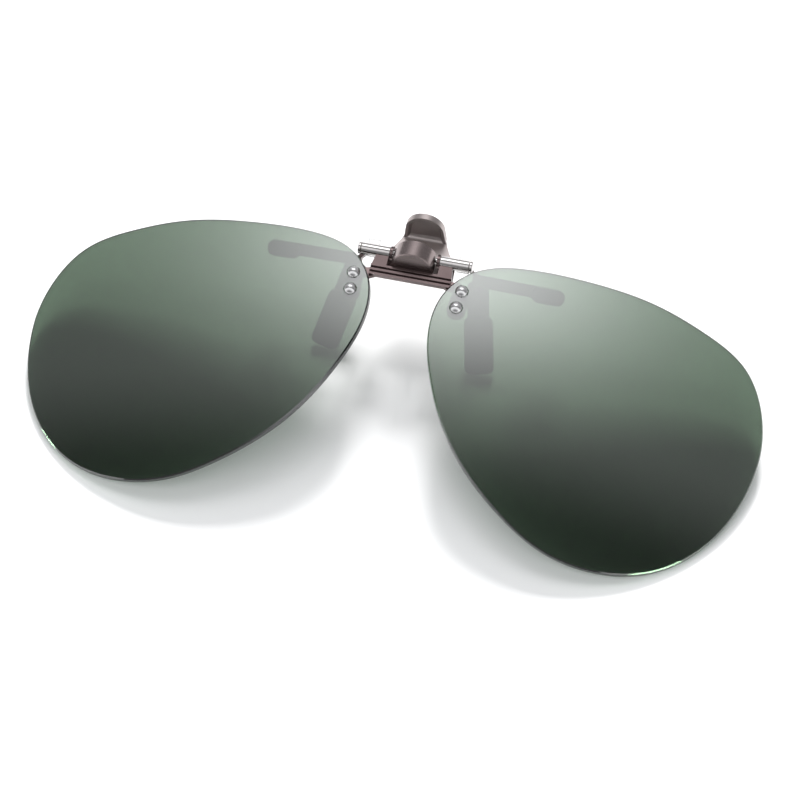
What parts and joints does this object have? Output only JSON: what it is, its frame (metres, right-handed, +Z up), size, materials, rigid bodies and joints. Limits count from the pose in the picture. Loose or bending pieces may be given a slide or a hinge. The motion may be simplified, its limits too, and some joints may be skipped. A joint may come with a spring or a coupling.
{
  "type": "clip-on sunglasses",
  "caption": "Flip-up clip-on sunglasses: rimless aviator lenses on a bar that turns on a pin, with a sprung pinch clamp for spectacle lenses.",
  "frame": {"origin": "centre of the footprint, on the surface that the lens bottoms and the rear pads rest on", "axes": "+X across the face through both lenses, +Z up through the lens fronts, +Y towards the thumb lever at the top of the face"},
  "size_m": [0.1314, 0.0568, 0.0193],
  "materials": {
    "lens_tint": "gloss",
    "gunmetal": "satin",
    "steel": "satin",
    "polished_steel": "polished",
    "spring_steel": "satin",
    "silicone": "matt",
    "clear_nylon": "satin"
  },
  "bodies": {
    "clamp_front": {"front_sheet": "gunmetal", "hinge_pin": "steel", "pin_cap_left": "steel", "pin_cap_right": "steel", "front_arm_left": "gunmetal", "front_arm_right": "gunmetal", "front_pad_left": "silicone", "front_pad_right": "silicone", "friction_shoe_left": "clear_nylon", "friction_shoe_right": "clear_nylon", "clamp_spring": "spring_steel"},
    "lens_frame": {"lens_left": "lens_tint", "lens_right": "lens_tint", "lens_bar": "gunmetal", "finger_hood": "gunmetal", "barrel_left": "steel", "barrel_right": "steel", "lens_rivets_left": "polished_steel", "lens_rivets_right": "polished_steel", "lens_washers_left": "clear_nylon", "lens_washers_right": "clear_nylon", "rivet_collars_left": "steel", "rivet_collars_right": "steel"},
    "clamp_rear": {"thumb_lever": "gunmetal", "rear_leg_left": "gunmetal", "rear_leg_right": "gunmetal", "rear_pad_left": "silicone", "rear_pad_right": "silicone"}
  },
  "joints": [
    {"name": "flip_hinge", "type": "hinge", "parent": "clamp_front", "child": "lens_frame", "pos_m": [0, 0.02037, 0.0152], "axis": [-1, 0, 0], "range_deg": [0, 90]},
    {"name": "clamp_hinge", "type": "hinge", "parent": "clamp_front", "child": "clamp_rear", "pos_m": [0, 0.02037, 0.0152], "axis": [1, 0, 0], "range_deg": [0, 26], "stiffness_Nm_per_rad": 0.05, "springref_deg": -34.38, "deforming": ["clamp_spring"]}
  ]
}
